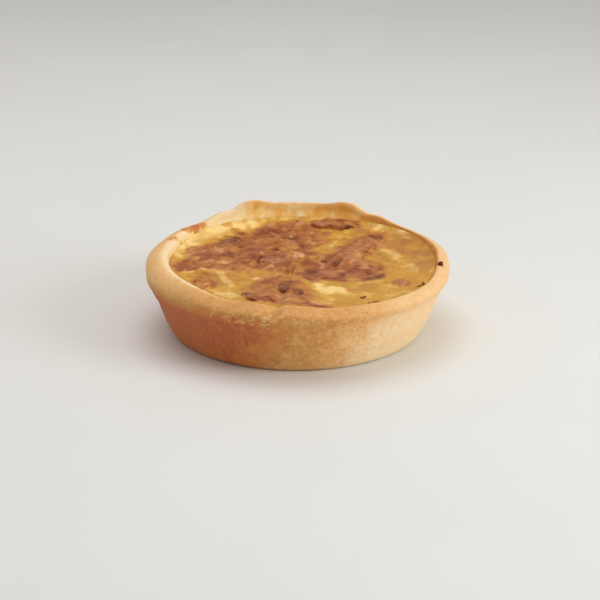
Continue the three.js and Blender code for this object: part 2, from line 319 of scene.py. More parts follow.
def shell_section():
    """The shell's half section from the base's edge to the floor's edge, as Bezier curves laid end to end.
    Gives the radius and height of each row, and its stretch: the curve's number plus the share along it."""
    edge = RIM_RADIUS - LIP_TUCK
    middle = (LIP_EDGE + RIM_TOP) / 2
    crest = RIM_RADIUS - LIP_CREST
    inside = RIM_RADIUS - LIP_WIDTH
    inside_top = RIM_TOP - LIP_DEPTH
    inside_floor = BASE_RADIUS - WALL + BASE_EDGE
    stops = (
        ((0.001, 0),),
        ((BASE_RADIUS - BASE_EDGE, 0),),
        ((BASE_RADIUS, 0), (BASE_RADIUS + BASE_EDGE / 2, BASE_EDGE)),
        ((WAIST_RADIUS - LEAN_BELOW, WAIST / 2), (WAIST_RADIUS, WAIST)),
        ((WAIST_RADIUS + LEAN_ABOVE, (WAIST + LIP_EDGE) / 2), (edge, LIP_EDGE)),
        ((RIM_RADIUS, LIP_EDGE + LIP_TUCK), (RIM_RADIUS, middle - LIP_ROUND), (RIM_RADIUS, middle)),
        ((RIM_RADIUS, RIM_TOP - LIP_ROUND), (crest + LIP_CREST * 0.45, RIM_TOP), (crest, RIM_TOP)),
        ((crest - LIP_ROUND, RIM_TOP), (inside, RIM_TOP - LIP_ROUND / 2), (inside, inside_top)),
        ((inside - LIP_LEAN * 0.8, (inside_top + LIP_EDGE) / 2), (inside - LIP_LEAN, LIP_EDGE)),
        ((inside - LIP_LEAN + 0.3, WAIST), (inside_floor, FLOOR + BASE_EDGE)),
        ((inside_floor - BASE_EDGE / 2, FLOOR), (inside_floor - BASE_EDGE, FLOOR)),
    )
    counts = (8, 6, 34, 26, 14, 18, 18, 16, 4, 2)
    rows, stretches = [], []
    for number, (start, controls, count) in enumerate(zip(stops, stops[1:], counts)):
        rows.append(bezier((start[-1],) + controls, count))
        stretches.append(number + np.arange(count) / count)
    rows.append(np.array([stops[-1][-1]]))
    stretches.append(np.array([len(counts)], dtype=float))
    return np.concatenate(rows), np.concatenate(stretches)


SECTION, STRETCH = shell_section()
CREST_STRETCH = 6  # the stretch that ends at the crest


def shell_surface(angle, rows=slice(None)):
    """Radius and height of the shell's rows at the given angles, after the rim's waves, the pressed lip and
    the flutter. The result has one row for each section row and one column for each angle."""
    radius, height = SECTION[rows, 0][:, None], SECTION[rows, 1][:, None]
    lift = smoothstep(LIP_EDGE - 1, RIM_TOP, height)
    inner_side = smoothstep(CREST_STRETCH - 1, CREST_STRETCH + 1, STRETCH[rows])[:, None]
    thinning = waves(THIN_LIP, angle) * inner_side * smoothstep(LIP_EDGE, RIM_TOP - LIP_DEPTH, height)
    flutter = sum(share * np.sin(turns * angle + shift) for turns, share, shift in FLUTTER_WAVES)
    outward = height * radius / (RIM_TOP * RIM_RADIUS)
    return radius + thinning + FLUTTER * flutter * outward, height + waves(RIM_WAVES, angle) * lift


def edge_height(angle):
    """Height of the custard's edge where it meets the pastry, always a little below the rim."""
    crest = RIM_TOP + waves(RIM_WAVES, angle)
    return np.minimum(LEVEL + EDGE_RISE + waves(CUSTARD_CLIMB, angle), crest - BELOW_CREST)


def inner_radius(height, angle):
    """The inner wall's radius at one height for each angle, read between the section's rows."""
    radii, heights = shell_surface(angle, STRETCH >= CREST_STRETCH)
    row = np.clip((heights > height).sum(axis=0) - 1, 0, len(heights) - 2)
    column = np.arange(len(angle))
    above, below = heights[row, column], heights[row + 1, column]
    share = np.clip((above - height) / np.maximum(above - below, 1e-6), 0, 1)
    return radii[row, column] * (1 - share) + radii[row + 1, column] * share


def grid_faces(rows, columns):
    """The quads between neighbouring rows and columns of a grid whose last column joins the first."""
    row, column = np.meshgrid(np.arange(rows - 1), np.arange(columns), indexing="ij")
    beside = (column + 1) % columns
    here, below = row * columns, (row + 1) * columns
    return np.stack([here + column, here + beside, below + beside, below + column], axis=-1).reshape(-1, 4)


def fan_faces(ring, middle):
    """Triangles from each side of a closed ring of vertices to one middle vertex."""
    return np.stack([ring, np.roll(ring, -1), np.full_like(ring, middle)], axis=-1)


def grid_normals(points):
    """Unit normals of a grid closed across its columns: the cross product of its two directions."""
    along = np.gradient(points, axis=0)
    around = (np.roll(points, -1, axis=1) - np.roll(points, 1, axis=1)) / 2
    normals = np.cross(around, along)
    return normals / np.maximum(np.linalg.norm(normals, axis=-1, keepdims=True), 1e-9)


def put_mesh(name, points, faces, material, fields=None):
    """Makes a smooth mesh piece from points in mm, with its number fields kept as point attributes."""
    mesh = bpy.data.meshes.new(name)
    mesh.from_pydata((points * MM).tolist(), [], [list(face) for block in faces for face in block.tolist()])
    for field, values in (fields or {}).items():
        attribute = mesh.attributes.new(field, "FLOAT", "POINT")
        attribute.data.foreach_set("value", np.ascontiguousarray(values, dtype=np.float32).ravel())
    mesh.shade_smooth()
    if mesh.validate():
        raise RuntimeError(f"{name}: the mesh had faces that don't hold together")
    mesh.materials.append(material)
    piece = bpy.data.objects.new(name, mesh)
    bpy.context.scene.collection.objects.link(piece)
    return piece


def stands_for(piece, slot, *nodes):
    """Rides the piece on the body and puts it in the place of the named solids."""
    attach(piece, "root")
    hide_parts(*nodes)


class Finish:
    """A material whose nodes are added one by one, with patterns in the piece's own coordinates."""

    def __init__(self, name):
        self.material = bpy.data.materials.new(name)
        self.material.use_nodes = True
        self.tree = self.material.node_tree
        self.shader = self.tree.nodes["Principled BSDF"]
        self.place = self.node("ShaderNodeTexCoord").outputs["Object"]

    def node(self, kind, inputs=None, **settings):
        """Adds a node, sets it up and feeds its named inputs."""
        node = self.tree.nodes.new(kind)
        for setting, value in settings.items():
            setattr(node, setting, value)
        for socket, value in (inputs or {}).items():
            self.feed(node.inputs[socket], value)
        return node

    def feed(self, socket, value):
        """Links another node's output to a socket, or gives the socket a fixed value."""
        if isinstance(value, bpy.types.NodeSocket):
            self.tree.links.new(value, socket)
        elif socket.type == "RGBA" and len(value) == 3:
            socket.default_value = (*value, 1)
        else:
            socket.default_value = value

    def field(self, name):
        """The piece's own point attribute of that name."""
        return self.node("ShaderNodeAttribute", attribute_name=name).outputs["Fac"]

    def grain(self, size, detail=3.0, rough=0.55):
        """A noise pattern, 0 to 1, of the given size in mm."""
        inputs = {"Vector": self.place, "Scale": 1 / (size * MM), "Detail": detail, "Roughness": rough}
        return self.node("ShaderNodeTexNoise", inputs).outputs["Fac"]

    def between(self, value, low, high, to_low=0.0, to_high=1.0):
        """A smooth step from to_low to to_high while the value goes from low to high."""
        inputs = {"Value": value, "From Min": low, "From Max": high, "To Min": to_low, "To Max": to_high}
        return self.node("ShaderNodeMapRange", inputs, interpolation_type="SMOOTHSTEP").outputs["Result"]

    def maths(self, operation, first, second):
        """The sum, product or the like of two values."""
        node = self.node("ShaderNodeMath", operation=operation)
        self.feed(node.inputs[0], first)
        self.feed(node.inputs[1], second)
        return node.outputs["Value"]

    def mix(self, amount, first, second, blend="MIX"):
        """Goes from the first colour to the second as the amount goes from 0 to 1."""
        node = self.node("ShaderNodeMix", data_type="RGBA", blend_type=blend)
        self.feed(node.inputs[0], amount)
        self.feed(node.inputs[6], first)
        self.feed(node.inputs[7], second)
        return node.outputs[2]

    def ramp(self, amount, stops):
        """A colour read between stops, each a position and a colour."""
        node = self.node("ShaderNodeValToRGB", {"Fac": amount})
        elements = node.color_ramp.elements
        while len(elements) < len(stops):
            elements.new(0.5)
        for element, (position, shade) in zip(elements, stops):
            element.position = position
            element.color = (*shade, 1)
        return node.outputs["Color"]

    def bump(self, height, distance, strength=1.0):
        """Tilts the surface by a pattern whose full step stands for the given height in mm."""
        inputs = {"Height": height, "Distance": distance * MM, "Strength": strength}
        self.feed(self.shader.inputs["Normal"], self.node("ShaderNodeBump", inputs).outputs["Normal"])

    def set(self, **constants):
        """Feeds the shader's inputs, named with underscores for spaces."""
        for socket, value in constants.items():
            self.feed(self.shader.inputs[socket.replace("_", " ")], value)


class QuicheCrustSettings(bpy.types.PropertyGroup):
    pale: bpy.props.FloatVectorProperty(
        name="Pale pastry",
        description="Colour of the least baked pastry",
        subtype="COLOR",
        default=colour(244, 214, 169),
        min=0,
        max=1,
    )
    golden: bpy.props.FloatVectorProperty(
        name="Golden pastry",
        description="Colour of evenly baked pastry",
        subtype="COLOR",
        default=colour(231, 178, 115),
        min=0,
        max=1,
    )
    tan: bpy.props.FloatVectorProperty(
        name="Tan pastry",
        description="Colour of well baked pastry",
        subtype="COLOR",
        default=colour(206, 146, 80),
        min=0,
        max=1,
    )
    russet: bpy.props.FloatVectorProperty(
        name="Russet pastry",
        description="Colour between tan and brown, under the lip",
        subtype="COLOR",
        default=colour(208, 131, 71),
        min=0,
        max=1,
    )
    # Brown pastry: also the colour of the wall's left side, which is partly painted shade
    brown: bpy.props.FloatVectorProperty(
        name="Brown pastry",
        description="Colour of the darkest side of the wall",
        subtype="COLOR",
        default=colour(186, 102, 63),
        min=0,
        max=1,
    )
    stained: bpy.props.FloatVectorProperty(
        name="Stained pastry",
        description="Colour of the inner wall where custard has run over it",
        subtype="COLOR",
        default=colour(240, 180, 84),
        min=0,
        max=1,
    )
    cream: bpy.props.FloatVectorProperty(
        name="Creamy pastry",
        description="Colour of the palest stained pastry",
        subtype="COLOR",
        default=colour(255, 231, 172),
        min=0,
        max=1,
    )
    burnt: bpy.props.FloatVectorProperty(
        name="Burnt spots",
        description="Colour of burnt spots",
        subtype="COLOR",
        default=colour(96, 44, 16),
        min=0,
        max=1,
    )
    unevenness: bpy.props.FloatProperty(
        name="Unevenness",
        description="Height of the dents that hand pressing leaves",
        unit="LENGTH",
        default=0.00025,
        min=0,
        max=0.001,
    )
    grain_height: bpy.props.FloatProperty(
        name="Grain height",
        description="Height of the pastry's sandy grain",
        unit="LENGTH",
        default=0.00006,
        min=0,
        max=0.0004,
    )


# What changes round the shell: angle, flat and full half width in degrees, and by how much. First come how
# much more or less the lip, the wall and the inner wall are baked; the wall's and the inner wall's lists also
# hold painted light and shade
LIP_BAKE = (
    (-98, 24, 56, 0.2),
    (-20, 25, 60, -0.09),
    (-175, 30, 60, -0.03),
    (90, 30, 60, -0.18),
)
# Partly real bake and partly painted light: the wall browner on the left as painted shade and paler on the
# right as painted light
WALL_BAKE_AND_PAINTED_LIGHT = (
    (-160, 42, 71, 0.48),
    (150, 0, 60, 0.25),
    (-90, 8, 24, 0.03),
    (-18, 33, 69, -0.4),
)
# Partly real bake and stain, partly painted light: the inner wall paler on the left and back left as a
# painted highlight, browner on the right as painted shade
INNER_BAKE_AND_PAINTED_LIGHT = (
    (8, 28, 60, 0.26),
    (124, 5, 15, -0.38),
    (152, 10, 26, -0.22),
    (90, 1, 9, -0.12),
    (-170, 35, 60, -0.42),
    (60, 10, 25, 0.08),
)
SANDY_WALL = ((-92, 26, 50, 1.0),)  # where the wall is mottled like sand
SOFT_EDGE = ((-150, 30, 62, 3.6),)  # how many mm higher the wall's brown fades out on the lip
# On the left the inner wall's pale cream is a painted highlight on the lip's inner slope; this list brings it
# over the crest
PAINTED_HIGHLIGHT_OVER_CREST = ((-175, 30, 62, 0.08),)  # how far the inner wall's colour comes over the crest
# This list only makes the inner wall browner just above the custard
BROWNER_ABOVE_CUSTARD = ((-175, 30, 55, 0.45), (0, 30, 60, 0.2))  # how much browner it is just above the custard
# Less stain: partly less custard, partly a painted highlight that keeps the left and back left inner wall
# cream
CLEAN_AND_HIGHLIT_INSIDE = ((-170, 25, 50, -0.5), (122, 6, 18, -0.15))  # where less custard has run over it
CRUMBLY_FRONT = ((-109, 8, 24, 0.6), (-88, 18, 44, 0.4))  # where the lip's lower edge is crumbly
# Browned and burnt spots on the rim: place in mm, size and strength
BROWNED_RIM = (
    (-42, 28.5, 28.8, 2.8, 0.7),
    (-39.2, 32, 28.8, 3.2, 0.8),
    (-36.5, 35, 28.8, 2.6, 0.6),
    (-47, 17, 28.4, 2.4, 0.5),
    (-45, 19.4, 27.4, 2.6, 0.45),
)
BURNT_SPOTS = ((52.5, -7.6, 26.5, 1.3, 0.8),)
BURNT_CRUMB = (52.5, -7.6, 26.7)  # a burnt crumb stuck on that spot
BURNT_CRUMB_SIZE = (1.2, 1.3, 0.95)  # half sizes
CRUMB_SHAPE = (0.4, 1.0, 0.8)  # half sizes of a crumb out from the wall, along it and upwards, as shares


def make_crust_surface(settings):
    """The shell as rings: radius and height from the section at each angle, then pushed out along its normals
    by slow dents, lumps, sandy grain, runs on the inner wall and the crumbly band along the lip's lower edge.
    Gives the points, the angles and how crumbly each place is."""
    angle = np.linspace(0, TURN, CRUST_COLUMNS, endpoint=False)
    radius, height = shell_surface(angle)
    points = np.stack([radius * np.cos(angle), radius * np.sin(angle), height], axis=-1)
    normals = grid_normals(points)
    outside = smoothstep(0.3, 2.0, height) * (STRETCH < 9)[:, None]
    wall = 1 - smoothstep(LIP_EDGE - 3, LIP_EDGE + 1, height)
    dents = settings.unevenness / MM * noise(points, 13, 1)
    lumps = (0.04 + 0.1 * wall) * noise(points, 4.5, 2)
    grain = settings.grain_height / MM * (noise(points, 1.8, 3) + noise(points, 1.1, 4)) * (0.3 + 1.1 * wall)
    band = height - LIP_EDGE - 0.6 * noise(points, 9, 5)
    seam = np.exp(-((band / 1.4) ** 2)) * (STRETCH < 6)[:, None]
    front = waves(CRUMBLY_FRONT, angle)
    crumbly = np.exp(-(((band - 1.4) / 2.8) ** 2)) * (STRETCH < 6)[:, None] * front
    crumble = crumbly * (np.abs(noise(points, 1.9, 6)) + 0.5 * noise(points, 1.2, 7))
    inner = smoothstep(CREST_STRETCH + 0.5, CREST_STRETCH + 1.2, STRETCH)[:, None]
    runs = 0.16 * inner * noise(points * (1, 1, 0.35), 4.2, 14)
    push = dents + lumps + grain + 0.17 * crumble - 0.14 * seam * (0.3 + 0.7 * front) + runs
    points = points + normals * (push * outside)[..., None]
    return points, angle, crumbly


def make_crust_fields(points, angle, crumbly):
    """How baked each point is, from 0 pale to 1 brown, how stained by custard and how burnt. The bake also
    holds
    painted light and shade: the wall darker on the left and paler on the right, and the inner wall paler on
    the left and back left and darker on the right. The bake is the lip's, the wall's or the inner wall's,
    blended by smooth steps at the lip's lower edge and at the crest. Each of these is a level with mottling,
    and the waves of its list added. Spots come on top."""
    height = points[..., 2]
    edge = LIP_EDGE + 0.8 * noise(points, 8, 10) - 0.4
    soft = waves(SOFT_EDGE, angle)
    wall = 1 - smoothstep(edge - 2.6 + 0.3 * soft, edge + 1.2 + soft, height)
    mottle = 0.06 * fbm(points, 6, 11) + 0.06 * fbm(points, 2.2, 15)
    lip = 0.3 + mottle * 0.5 + waves(LIP_BAKE, angle)
    sandy = waves(SANDY_WALL, angle)
    side = 0.48 + mottle * (0.25 + 1.3 * sandy) + 0.11 * sandy * noise(points, 1.3, 20)
    # Painted shade on the wall's left and painted light on its right, partly real bake
    side = side + waves(WALL_BAKE_AND_PAINTED_LIGHT, angle + 0.08 * noise(points, 9, 12) - 0.008 * (height - 9))
    side = side - 0.13 * (1 - smoothstep(0, 9, height))
    bake_and_painted_light = lip * (1 - wall) + side * wall
    bake_and_painted_light = bake_and_painted_light + crumbly * (0.32 * noise(points, 2.2, 13) + 0.25 * noise(points, 1.2, 17) + 0.02)
    streaks = noise(points * (1, 1, 0.4) + 0.5 * noise(points, 3, 9)[..., None], 4.8, 14)
    # The inner wall's list paints a highlight on its left and back left and shade on its right
    inner = 0.35 + 0.22 * streaks + 0.12 * noise(points, 2.6, 19) + waves(INNER_BAKE_AND_PAINTED_LIGHT, angle)
    above = height - edge_height(angle) - 0.4 * noise(points, 3, 8)
    inner = inner + (1 - smoothstep(0.3, 2.4, above)) * waves(BROWNER_ABOVE_CUSTARD, angle)
    # The painted highlight on the left inner slope starts a little outside the crest
    start = CREST_STRETCH - 0.15 - waves(PAINTED_HIGHLIGHT_OVER_CREST, angle)
    inside = smoothstep(start, start + 0.55, STRETCH[:, None])
    bake_and_painted_light = bake_and_painted_light * (1 - inside) + inner * inside
    bake_and_painted_light = bake_and_painted_light + spots_on(points, BROWNED_RIM)
    below = smoothstep(-0.2, 2.2, RIM_TOP + waves(RIM_WAVES, angle) - height + 0.8 * noise(points, 3.5, 18))
    # Less stain on the left and back left keeps the painted highlight there cream
    stained = inside * np.clip(below * (1.0 + waves(CLEAN_AND_HIGHLIT_INSIDE, angle)) + 0.2 * streaks, 0, 1)
    return np.clip(bake_and_painted_light, 0, 1), stained, np.clip(spots_on(points, BURNT_SPOTS), 0, 1)


def spots_on(points, spots):
    """The strength of round ragged spots in space: one minus a smooth step of the distance over the size."""
    total = np.zeros(points.shape[:-1])
    for *place, size, strength in spots:
        away = np.linalg.norm(points - np.array(place), axis=-1) / size
        total += strength * (1 - smoothstep(0.5, 1.2, away + 0.18 * noise(points, 2.2, 16)))
    return total


def crust_finish(settings):
    """Matt baked pastry: pale to brown by how baked it is, with the painted light and shade that the bake
    holds, yellower where custard has run over it, with fine tan speckles and burnt spots."""
    finish = Finish("baked_pastry")
    grain = finish.between(finish.grain(1.3, 5), 0.3, 0.7, -0.05, 0.05)
    bake_and_painted_light = finish.maths("ADD", finish.field("bake_and_painted_light"), grain)
    stops = [
        (0.0, settings.pale[:]),
        (0.32, settings.golden[:]),
        (0.58, settings.tan[:]),
        (0.74, settings.russet[:]),
        (1.0, settings.brown[:]),
    ]
    shades = finish.ramp(bake_and_painted_light, stops)
    yellow_stops = [(0.1, settings.cream[:]), (0.42, settings.stained[:]), (0.8, settings.tan[:])]
    yellow = finish.ramp(bake_and_painted_light, yellow_stops)
    shades = finish.mix(finish.field("stained"), shades, yellow)
    speckle = finish.between(finish.grain(0.6, 2), 0.55, 0.75, 0.0, 0.25)
    shades = finish.mix(speckle, shades, settings.tan[:], "MULTIPLY")
    shades = finish.mix(finish.field("burnt"), shades, settings.burnt[:])
    finish.set(Base_Color=shades, Roughness=0.6, Specular_IOR_Level=0.2)
    finish.set(Subsurface_Weight=0.06, Subsurface_Scale=0.001)
    finish.feed(finish.shader.inputs["Subsurface Radius"], (1.0, 0.7, 0.45))
    finish.bump(finish.grain(0.6, 5, 0.65), 0.1, 0.6)
    return finish.material


class QUICHE_OT_crust(bpy.types.Operator):
    """Makes the pastry shell with its lip, dents, grain and browned spots, and the crumbs that stick to it"""

    bl_idname = "quiche.crust"
    bl_label = "Pastry Shell"

    def execute(self, context):
        settings = context.scene.quiche_crust
        points, angle, crumbly = make_crust_surface(settings)
        bake_and_painted_light, stained, burnt = make_crust_fields(points, angle, crumbly)
        rows, columns = points.shape[:2]
        ring = np.arange(columns)
        poles = np.array([[0, 0, 0], [0, 0, FLOOR]])
        under, floor = rows * columns, rows * columns + 1
        faces = (
            grid_faces(rows, columns),
            fan_faces(ring, under)[:, ::-1],
            fan_faces(ring + (rows - 1) * columns, floor),
        )
        everything = np.concatenate([points.reshape(-1, 3), poles])
        fields = {"bake_and_painted_light": np.append(bake_and_painted_light, (0.5, 0.5)), "stained": np.append(stained, (0, 0))}
        fields["burnt"] = np.append(burnt, (0, 0))
        material = crust_finish(settings)
        piece = put_mesh("pastry_shell", everything, faces, material, fields)
        stands_for(piece, "pastry", "crust")
        crumbs, crumb_faces, fields = make_crumbs(points.reshape(-1, 3), crumbly.ravel())
        piece = put_mesh("pastry_crumbs", crumbs, (crumb_faces,), material, fields)
        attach(piece, "root")
        return {"FINISHED"}


def lumps_at(places, sizes, turns, seed):
    """Small uneven lumps at the given places: an octahedron whose sides are halved once, each corner pushed
    in or out at random, stretched to the lump's half sizes and turned about the upright."""
    corners = np.array([[1, 0, 0], [0, 1, 0], [-1, 0, 0], [0, -1, 0], [0, 0, 1], [0, 0, -1]], dtype=float)
    sides = [(0, 1), (1, 2), (2, 3), (3, 0), (0, 4), (1, 4), (2, 4), (3, 4), (0, 5), (1, 5), (2, 5), (3, 5)]
    halves = np.array([corners[a] + corners[b] for a, b in sides]) / math.sqrt(2)
    ball = np.concatenate([corners, halves])
    faces = []
    for a, b in ((0, 1), (1, 2), (2, 3), (3, 0)):
        for pole in (4, 5):
            first = 6 + sides.index((a, b))
            second, third = 6 + sides.index((b, pole)), 6 + sides.index((a, pole))
            four = [(a, first, third), (first, b, second), (third, second, pole), (first, second, third)]
            faces += four if pole == 4 else [face[::-1] for face in four]
    rough = np.random.default_rng(seed).uniform(0.75, 1.2, (len(places), len(ball), 1))
    shapes = ball * rough * sizes[:, None, :]
    cos, sin = np.cos(turns)[:, None], np.sin(turns)[:, None]
    turned = np.stack(
        [
            shapes[..., 0] * cos - shapes[..., 1] * sin,
            shapes[..., 0] * sin + shapes[..., 1] * cos,
            shapes[..., 2],
        ],
        axis=-1,
    )
    points = (turned + places[:, None, :]).reshape(-1, 3)
    shifts = np.arange(len(places))[:, None, None] * len(ball)
    return points, (np.array(faces) + shifts).reshape(-1, 3)


def make_crumbs(points, crumbly):
    """Small lumps at random points of the shell, drawn more often where it is crumbly, and the burnt one.
    Gives their points and faces, and how baked and how burnt each is."""
    chosen = np.random.default_rng(90).choice(len(points), CRUMBS, p=crumbly / crumbly.sum())
    places = np.concatenate([points[chosen], [BURNT_CRUMB]])
    sizes = np.random.default_rng(91).uniform(0.2, 0.5, (CRUMBS, 1)) * CRUMB_SHAPE
    sizes = np.concatenate([sizes, [BURNT_CRUMB_SIZE]])
    crumbs, faces = lumps_at(places, sizes, np.arctan2(places[:, 1], places[:, 0]), 92)
    tone = np.append(np.random.default_rng(93).uniform(0.2, 0.45, CRUMBS), 1)
    burnt = np.append(np.zeros(CRUMBS), 1)
    corners = len(crumbs) // len(places)
    fields = {"bake_and_painted_light": np.repeat(tone, corners), "stained": np.zeros(len(crumbs))}
    fields["burnt"] = np.repeat(burnt, corners)
    return crumbs, faces, fields


class QuicheFillingSettings(bpy.types.PropertyGroup):
    cheese: bpy.props.FloatVectorProperty(
        name="Cheese",
        description="Colour of melted, barely toasted cheese",
        subtype="COLOR",
        default=colour(248, 210, 134),
        min=0,
        max=1,
    )
    custard: bpy.props.FloatVectorProperty(
        name="Custard",
        description="Colour of the soft custard",
        subtype="COLOR",
        default=colour(206, 152, 55),
        min=0,
        max=1,
    )
    golden: bpy.props.FloatVectorProperty(
        name="Golden skin",
        description="Colour of the lightly toasted skin",
        subtype="COLOR",
        default=colour(192, 131, 56),
        min=0,
        max=1,
    )
    toasted: bpy.props.FloatVectorProperty(
        name="Toasted skin",
        description="Colour of the toasted skin",
        subtype="COLOR",
        default=colour(168, 97, 48),
        min=0,
        max=1,
    )
    deep: bpy.props.FloatVectorProperty(
        name="Deep toast",
        description="Colour of the darkest toasted skin",
        subtype="COLOR",
        default=colour(136, 70, 30),
        min=0,
        max=1,
    )
    # Its darkest stop also paints shade into the deepest creases
    scorched: bpy.props.FloatVectorProperty(
        name="Scorched specks",
        description="Colour of specks and the deepest creases",
        subtype="COLOR",
        default=colour(88, 42, 12),
        min=0,
        max=1,
    )
    rosy: bpy.props.FloatVectorProperty(
        name="Rosy skin",
        description="Colour of toasted skin that bacon shows through",
        subtype="COLOR",
        default=colour(172, 102, 65),
        min=0,
        max=1,
    )
    # The painted sheen: pale peach highlights painted into the toasted skin
    painted_sheen: bpy.props.FloatVectorProperty(
        name="Fatty places",
        description="Colour of the pale peach places in the toasted skin",
        subtype="COLOR",
        default=colour(228, 165, 114),
        min=0,
        max=1,
    )
    fold_height: bpy.props.FloatProperty(
        name="Fold height",
        description="Height of the folds in the toasted skin",
        unit="LENGTH",
        default=0.0009,
        min=0,
        max=0.0015,
    )


def disk_grid(count):
    """A square grid laid over the unit disk: x = u sqrt(1 - v v / 2) and y = v sqrt(1 - u u / 2)."""
    line = np.linspace(-1, 1, count)
    u, v = np.meshgrid(line, line, indexing="xy")
    return u * np.sqrt(1 - v * v / 2), v * np.sqrt(1 - u * u / 2)


def border_loop(count):
    """Numbers of the vertices round the border of a square grid, anticlockwise from its lowest corner."""
    last = count - 1
    side = np.arange(last)
    return np.concatenate([side, side * count + last, count * count - 1 - side, (last - side) * count])


def top_faces(count):
    """The quads of a square grid of vertices, seen from above."""
    row, column = np.meshgrid(np.arange(count - 1), np.arange(count - 1), indexing="ij")
    first = row * count + column
    return np.stack([first, first + 1, first + count + 1, first + count], axis=-1).reshape(-1, 4)


EDGE_ANGLES = np.linspace(-math.pi, math.pi, 721)
EDGE_REACH = inner_radius(edge_height(EDGE_ANGLES), EDGE_ANGLES) + 0.25
# Where the custard's edge is as golden as the pastry: angle, flat and full half width in degrees, strength
GOLDEN_EDGE = ((141, 20, 44, 1.2), (66, 32, 60, 0.6))
# Where plain custard is a warmer orange: ovals as above
WARM = (
    (38, 26, 16, 22, 0, 0.85),
    (44, 2, 8, 14, 0, 0.8),
    (16, 27, 10, 14, 0, 0.7),
    (-25, -30, 18, 12, 0, 0.9),
    (-12, -14, 16, 8, 0, 0.5),
)


def custard_skin(x, y, settings):
    """The custard's top over places in plan. Its height is its level, slow swells, the climb to the pastry,
    the toasted skin with its folds and patches, melted cheese, hollows, and the custard drawn up round the
    bacon. Also gives its fields: how brown it is, from 0 to 1, with painted shade in creases, under raised
    edges and in fold hollows and painted highlights on bumps and fold tops, where bacon shows through, and
    the painted sheen: pale peach highlights in the toasted skin."""
    points = np.stack([x, y, np.zeros_like(x)], axis=-1)
    angle = np.arctan2(y, x)
    share = np.hypot(x, y) / np.interp(angle, EDGE_ANGLES, EDGE_REACH)
    wobble = 0.2 * noise(points, 8, 21) + 0.2 * noise(points, 3.6, 22) + 0.06 * noise(points, 1.8, 23)
    toast = np.max([patch[5] * oval(patch, x, y, 1.2 * wobble, 0.72, 1.22) for patch in TOASTED], axis=0)
    cheese = np.max([patch[5] * oval(patch, x, y, 1.4 * wobble, 0.3, 1.25) for patch in CHEESE], axis=0)
    # Dark spots: painted shade in creases and under raised edges, and real scorched spots; they also sink the
    # skin
    dark = sum(spot[5] * oval(spot, x, y, 1.4 * wobble) for spot in SHADED_AND_SCORCHED_SPOTS)
    # Pale spots: painted highlights on raised bumps, and custard, cheese or fat showing through; they also
    # raise the skin
    pale = sum(spot[5] * oval(spot, x, y, 1.4 * wobble) for spot in PALE_AND_HIGHLIGHT_SPOTS)
    bent = points + 1.6 * np.stack([noise(points, 5, 24), noise(points, 5, 25), np.zeros_like(x)], axis=-1)
    patches = 0.75 * blotches(bent, 4.6, 41) + 0.35 * blotches(bent, 2.4, 42)
    broad, fine = folds(points, 7.5, 31), folds(points, 3.4, 35)
    small = fbm(points, 1.8, 45, 3)
    ridges = broad + 0.55 * fine - 0.8

    rise = toast * SKIN_RISE * (0.85 + 0.3 * patches) + 0.8 * cheese * (1 + 0.25 * noise(points, 2.6, 48))
    rise = rise + settings.fold_height / MM * (0.25 + 0.75 * toast) * ridges + 0.08 * small
    rise = rise - 0.7 * dark + 0.4 * pale
    drawn_up = np.max([beside_strip(strip, x, y, noise(points, 2.4, 51)) for strip in BACON], axis=0)
    rise = rise + 0.5 * drawn_up
    climb = (edge_height(angle.ravel()).reshape(angle.shape) - LEVEL) * smoothstep(0.8, 0.97, share)
    calm = 1 - smoothstep(0.93, 1.0, share)
    height = LEVEL + climb + calm * (2 * SWELL * noise(points, 13, 50) + rise)
    crest = RIM_TOP + waves(RIM_WAVES, angle)
    height = np.minimum(height + 0.9 * smoothstep(0.94, 1.0, share) ** 2, crest - BELOW_CREST * share)

    # Painted sheen: pale peach highlights in the toasted skin, set by the pale spots and a noise
    painted_sheen = toast * np.clip(1.3 * pale + 0.6 * smoothstep(0.15, 0.75, noise(bent, 3.6, 43)) - 3 * dark, 0, 1)
    melted = cheese * (0.35 + 0.22 * patches + 0.14 * noise(points, 2, 55) + 0.1 * noise(points, 4, 56))
    # The dark and pale spots and the folds paint shade and highlight into the colour: darker in creases,
    # under raised edges and in fold hollows, lighter on bumps and fold tops
    brown = 0.33 + 0.36 * toast + 0.42 * dark - 0.5 * pale * (1 - 0.8 * toast) - melted
    brown = brown + (0.13 + 0.06 * toast) * patches + 0.03 * small - (0.07 + 0.1 * toast) * ridges
    brown = brown + 0.09 * fbm(points, 10, 52, 2) + 0.06 * (1 - toast) * noise(points, 3.2, 57)
    golden = waves(GOLDEN_EDGE, angle) * smoothstep(0.8, 0.95, share + 0.04 * patches)
    brown = brown - golden * (1 - toast) * (0.2 + 0.1 * fbm(points, 5, 54, 2))
    rosy = toast * smoothstep(-0.1, 0.6, noise(points, 6, 49) + 0.4 * patches)
    warm = np.max([patch[5] * oval(patch, x, y, wobble, 0.4, 1.3) for patch in WARM], axis=0)
    rosy = np.maximum(rosy, warm * smoothstep(-0.7, 0.6, noise(points, 4, 53) + 0.5 * patches))
    return height, {"brown": np.clip(brown, 0, 1), "rosy": rosy, "painted_sheen": painted_sheen}


def beside_strip(strip, x, y, wobble):
    """1 on a strip and close to it, 0 from about 2 mm away: one minus a smooth step of the distance to the
    strip's core."""
    middle_x, middle_y, length, width, turn = strip[:5]
    cos, sin = math.cos(math.radians(turn)), math.sin(math.radians(turn))
    along = np.abs((x - middle_x) * cos + (y - middle_y) * sin)
    across = np.abs((y - middle_y) * cos - (x - middle_x) * sin)
    away = np.hypot(np.maximum(along - length * 0.42, 0), np.maximum(across - width * 0.34, 0))
    return 1 - smoothstep(0.4, 2.6, away + 0.9 * wobble)


